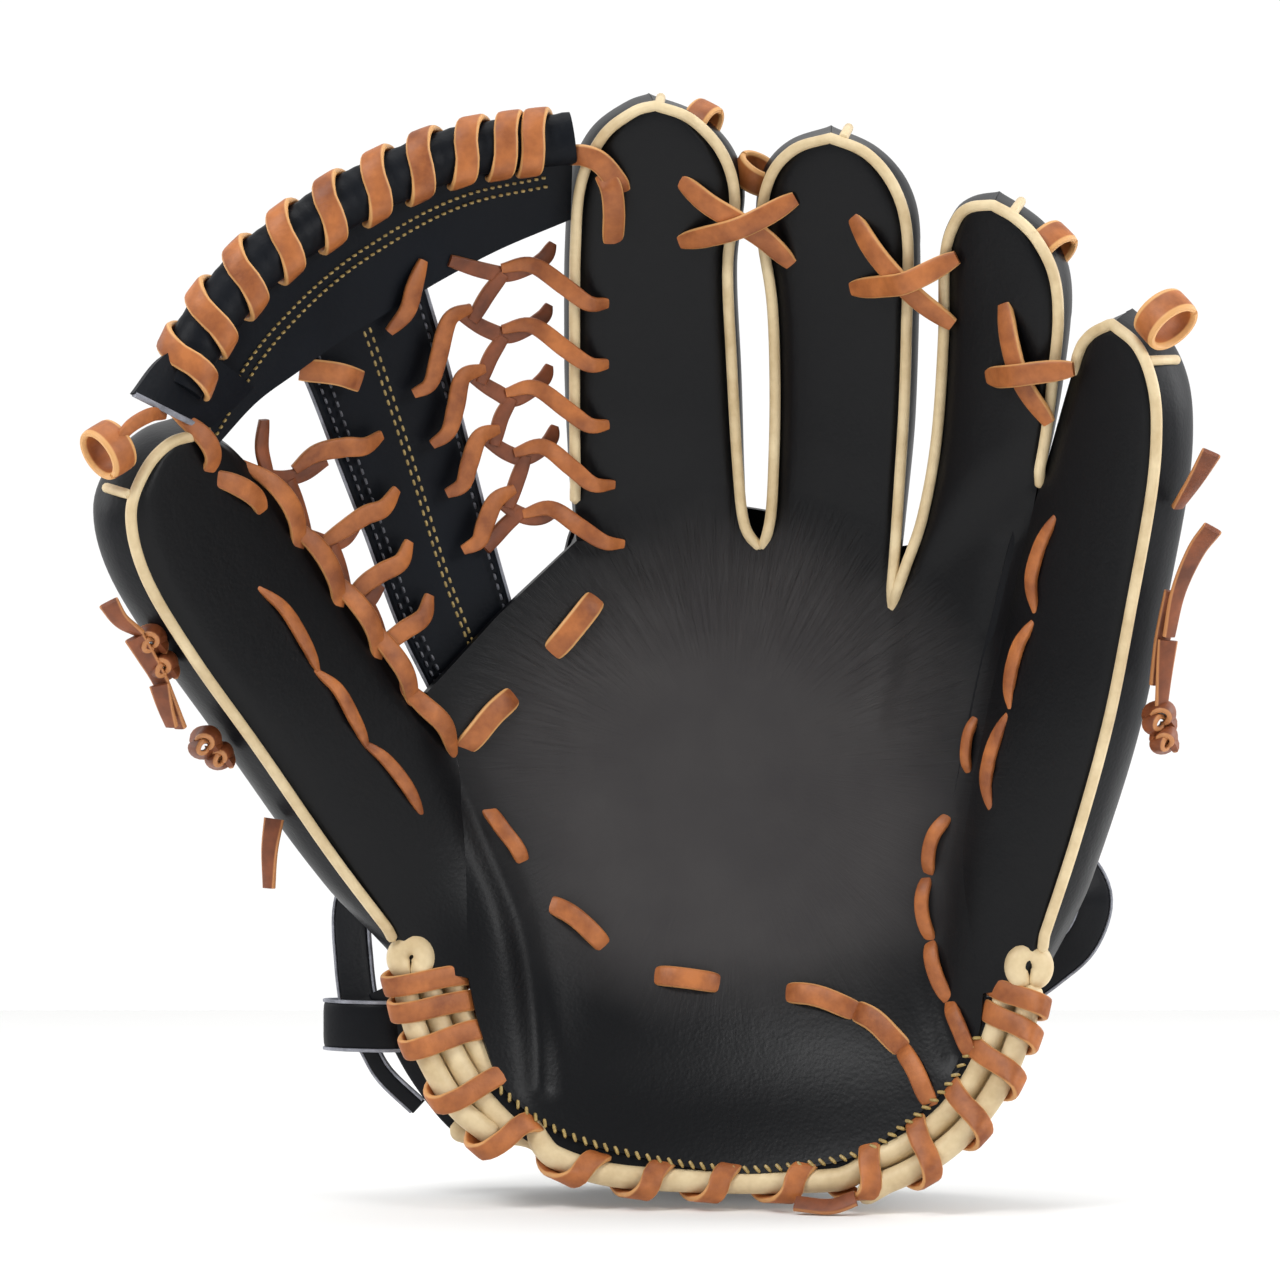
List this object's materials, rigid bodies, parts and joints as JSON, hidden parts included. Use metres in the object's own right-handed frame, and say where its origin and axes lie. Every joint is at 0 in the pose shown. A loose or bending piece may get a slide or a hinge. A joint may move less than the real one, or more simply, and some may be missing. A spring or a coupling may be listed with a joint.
{
  "type": "fielder's glove",
  "caption": "Five-finger black leather baseball fielder's glove for the left hand, with a laced trapeze web, a cream bound heel and an adjustable wrist strap.",
  "frame": {"origin": "the middle of the glove's bounding box at its lowest level, where it stands on its heel", "axes": "+Z from the heel towards the fingertips, -Y the way the palm faces, -X towards the thumb"},
  "size_m": [0.299, 0.1414, 0.3099],
  "materials": {
    "black_leather": "smooth black leather, satin",
    "tan_lace": "tan rawhide lace",
    "cream_leather": "cream leather binding",
    "wool_felt": "pressed wool felt",
    "lining_leather": "soft dark lining leather"
  },
  "bodies": {
    "hand": {"back_panel": "black_leather", "hand_side_little": "black_leather", "hand_side_thumb": "black_leather", "heel_lace": "tan_lace", "heel_roll": "cream_leather", "heel_roll_little_outer": "cream_leather", "heel_roll_thumb_middle": "cream_leather", "heel_roll_thumb_outer": "cream_leather", "index_back": "black_leather", "index_corner_lace": "tan_lace", "index_front": "black_leather", "index_welt": "cream_leather", "little_side_palm_lace": "tan_lace", "little_side_strap": "black_leather", "loop_patch": "lining_leather", "middle_back": "black_leather", "middle_front": "black_leather", "middle_welt": "cream_leather", "palm_felt": "wool_felt", "palm_lining": "lining_leather", "palm_shell": "black_leather", "pocket_lace": "tan_lace", "ring_back": "black_leather", "ring_front": "black_leather", "ring_welt": "cream_leather", "side_strap": "black_leather", "side_strap_end": "black_leather", "strap_keeper": "black_leather", "tip_lace_index_middle_over": "tan_lace", "tip_lace_index_middle_under": "tan_lace", "tip_lace_middle_ring_over": "tan_lace", "tip_lace_middle_ring_under": "tan_lace", "tip_lace_ring_little_over": "tan_lace", "tip_lace_ring_little_under": "tan_lace", "wrist_cuff": "black_leather", "wrist_liner": "lining_leather", "wrist_strap": "black_leather"},
    "thumb": {"thumb_back": "black_leather", "thumb_face_lace": "tan_lace", "thumb_front": "black_leather", "thumb_gusset": "black_leather", "thumb_stay": "lining_leather", "thumb_tail": "tan_lace", "thumb_welt": "cream_leather", "web_bar": "black_leather", "web_bar_lace": "tan_lace", "web_flap": "black_leather", "web_net_index": "tan_lace", "web_net_thumb": "tan_lace", "web_post": "black_leather", "web_spine_index": "tan_lace", "web_spine_thumb": "tan_lace"},
    "little": {"little_back": "black_leather", "little_face_lace": "tan_lace", "little_front": "black_leather", "little_stay": "lining_leather", "little_tail": "tan_lace", "little_welt": "cream_leather"},
    "tab": {"strap_tab": "black_leather", "hook_patch": "lining_leather"}
  },
  "joints": [
    {"name": "thumb_fold", "type": "hinge", "parent": "hand", "child": "thumb", "pos_m": [-0.0518, 0.00085, 0.059], "axis": [0.1295, -0.063, 0.9896], "range_deg": [0, 50]},
    {"name": "little_fold", "type": "hinge", "parent": "hand", "child": "little", "pos_m": [0.0882, -0.01315, 0.059], "axis": [-0.1378, 0.1421, -0.9802], "range_deg": [0, 35]},
    {"name": "strap_fold", "type": "hinge", "parent": "hand", "child": "tab", "pos_m": [-0.01694, 0.06879, 0.012], "axis": [0, 0, 1], "range_deg": [0, 100]}
  ]
}
